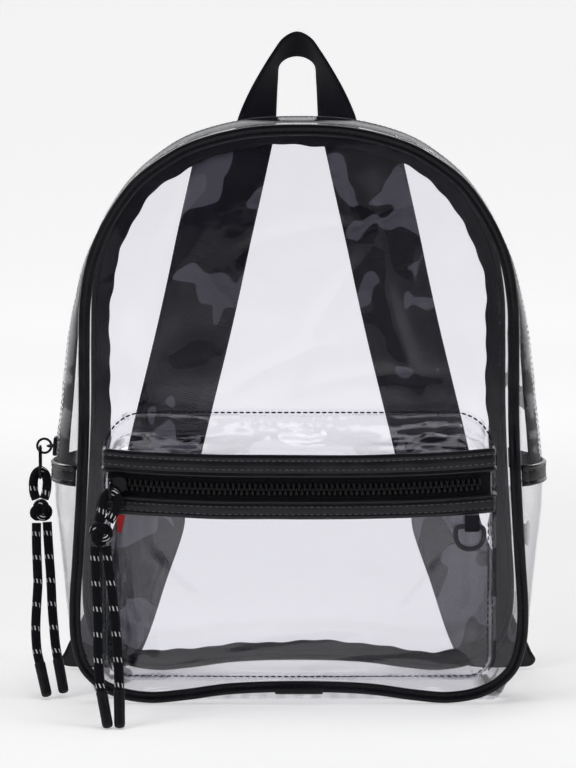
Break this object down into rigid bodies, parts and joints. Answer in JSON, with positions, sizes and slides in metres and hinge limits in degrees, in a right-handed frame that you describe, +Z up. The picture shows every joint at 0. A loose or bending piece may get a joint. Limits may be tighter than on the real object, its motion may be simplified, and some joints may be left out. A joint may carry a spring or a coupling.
{
  "type": "clear stadium backpack",
  "caption": "See-through soft plastic backpack with black piping, arched zip top, boxed front pocket, cord zip pulls, carry handle and padded straps.",
  "frame": {"origin": "centre of the flat underside of the base", "axes": "+X to the viewer's right seen from the front, -Y out of the front pocket, +Z up"},
  "size_m": [0.2783, 0.2166, 0.356],
  "materials": {
    "clear_sheet": "clear glossy soft plastic sheet, slightly wrinkled",
    "black_leather": "coated black imitation leather, satin, stitched",
    "black_webbing": "woven black nylon",
    "black_plastic": "moulded black plastic",
    "black_metal": "black coated metal",
    "black_cord": "braided black cord with white flecks",
    "red_cloth": "woven red tape"
  },
  "bodies": {
    "bag": {"front_panel": "clear_sheet", "back_panel": "clear_sheet", "base_gusset": "clear_sheet", "top_gusset_front": "clear_sheet", "top_gusset_back": "clear_sheet", "pocket_panel": "clear_sheet", "pocket_gusset": "clear_sheet", "pocket_top": "clear_sheet", "front_piping": "black_leather", "back_piping": "black_leather", "piping_joint": "black_leather", "back_binding": "black_leather", "side_band_left": "black_leather", "side_band_right": "black_leather", "pocket_trim_upper": "black_leather", "pocket_trim_lower": "black_leather", "strap_tab_left": "black_leather", "strap_tab_right": "black_leather", "main_zip_tape": "black_webbing", "pocket_zip_tape": "black_webbing", "top_handle": "black_webbing", "strap_left": "black_webbing", "strap_right": "black_webbing", "strap_webbing_left": "black_webbing", "strap_webbing_right": "black_webbing", "ring_tab": "black_webbing", "main_zip_chain": "black_plastic", "pocket_zip_chain": "black_plastic", "strap_adjuster_left": "black_plastic", "strap_adjuster_right": "black_plastic", "main_cord_tip_a": "black_plastic", "main_cord_tip_b": "black_plastic", "pocket_cord_tip_a": "black_plastic", "pocket_cord_tip_b": "black_plastic", "main_zip_slider": "black_metal", "pocket_zip_slider": "black_metal", "main_pull_ring": "black_metal", "main_pull_link": "black_metal", "pocket_pull_ring": "black_metal", "main_cord_loop": "black_cord", "main_cord_knot": "black_cord", "main_cord_tail_a": "black_cord", "main_cord_tail_b": "black_cord", "pocket_cord_loop": "black_cord", "pocket_cord_knot": "black_cord", "pocket_cord_tail_a": "black_cord", "pocket_cord_tail_b": "black_cord", "red_tab": "red_cloth"},
    "ring": {"d_ring": "black_plastic"}
  },
  "joints": [
    {"name": "ring_hinge", "type": "hinge", "parent": "bag", "child": "ring", "pos_m": [0.0868, -0.1109, 0.0995], "axis": [-1, 0, 0], "range_deg": [0, 120]}
  ]
}
